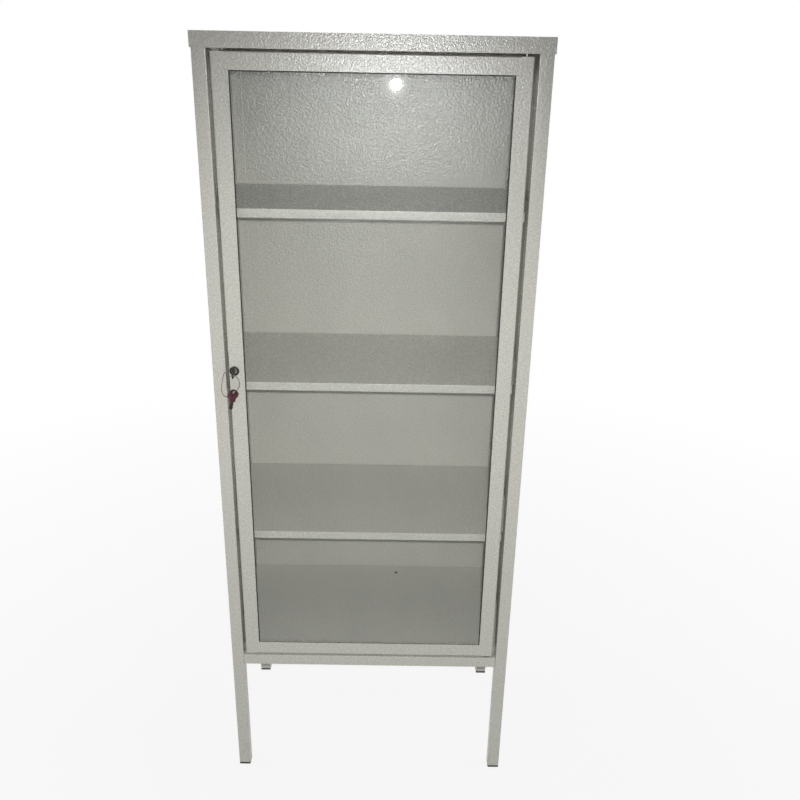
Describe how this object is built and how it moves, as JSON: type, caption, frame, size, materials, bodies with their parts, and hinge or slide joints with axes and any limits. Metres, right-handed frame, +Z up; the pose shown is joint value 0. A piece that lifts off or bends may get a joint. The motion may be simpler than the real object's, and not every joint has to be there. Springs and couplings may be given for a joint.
{
  "type": "glass door medical cabinet",
  "caption": "Tall steel instrument cabinet on square tube legs with a single framed glass door on pivots, fixed shelves and a cam lock with keys on a ring.",
  "frame": {"origin": "floor level, in the middle of the footprint of the object at rest", "axes": "+Z up, +X to the viewer's right, -Y towards the viewer at the front"},
  "size_m": [0.605, 0.3804, 1.56],
  "materials": {
    "paint": "light warm grey baked enamel with a fine hammered grain",
    "foot_plastic": "black moulded plastic",
    "zinc_steel": "zinc plated",
    "lock_steel": "worn nickel plate",
    "glass": "clear float glass",
    "gasket_rubber": "matt",
    "thread": "twisted dark red thread"
  },
  "bodies": {
    "cabinet": {"front_upright_left": "paint", "front_upright_right": "paint", "rear_leg_left": "paint", "rear_leg_right": "paint", "bottom_front_rail": "paint", "bottom_rear_rail": "paint", "bottom_side_rail_left": "paint", "bottom_side_rail_right": "paint", "top_front_rail": "paint", "side_panel_left": "paint", "side_panel_right": "paint", "back_panel": "paint", "floor_panel": "paint", "top_cap": "paint", "shelf_lower": "paint", "shelf_middle": "paint", "shelf_upper": "paint", "shelf_bracket_left_lower": "paint", "shelf_bracket_right_lower": "paint", "shelf_bracket_left_middle": "paint", "shelf_bracket_right_middle": "paint", "shelf_bracket_left_upper": "paint", "shelf_bracket_right_upper": "paint", "door_stop": "paint", "foot_front_left": "foot_plastic", "foot_front_right": "foot_plastic", "foot_rear_left": "foot_plastic", "foot_rear_right": "foot_plastic", "pivot_pin_lower": "zinc_steel", "pivot_pin_upper": "zinc_steel", "thrust_washer": "zinc_steel"},
    "door": {"door_stile_lock": "paint", "door_stile_hinge": "paint", "door_rail_top": "paint", "door_rail_bottom": "paint", "pivot_block_lower": "paint", "pivot_block_upper": "paint", "stile_plate_lower": "paint", "stile_plate_upper": "paint", "glazing_bead_lock": "paint", "glazing_bead_hinge": "paint", "glazing_bead_bottom": "paint", "glazing_bead_top": "paint", "door_glass": "glass", "glass_gasket": "gasket_rubber", "lock_body": "lock_steel", "lock_nut": "zinc_steel"},
    "lock": {"lock_plug": "lock_steel", "lock_cam": "zinc_steel", "cam_screw": "zinc_steel"},
    "key": {"key": "lock_steel"},
    "key_ring": {"key_ring": "zinc_steel", "spare_key": "lock_steel", "key_thread": "thread"}
  },
  "joints": [
    {"name": "door_swing", "type": "hinge", "parent": "cabinet", "child": "door", "pos_m": [0.255, -0.15091, 0.9227], "axis": [0, 0, 1], "range_deg": [0, 115]},
    {"name": "lock_turn", "type": "hinge", "parent": "door", "child": "lock", "pos_m": [-0.2585, -0.16091, 0.97], "axis": [0, -1, 0], "range_deg": [0, 90]},
    {"name": "key_slide", "type": "slide", "parent": "lock", "child": "key", "axis": [0, -1, 0], "range_m": [0, 0.018]},
    {"name": "ring_swing", "type": "hinge", "parent": "key", "child": "key_ring", "pos_m": [-0.2585, -0.18028, 0.9675], "axis": [-1, 0, 0], "range_deg": [-5, 80]}
  ]
}
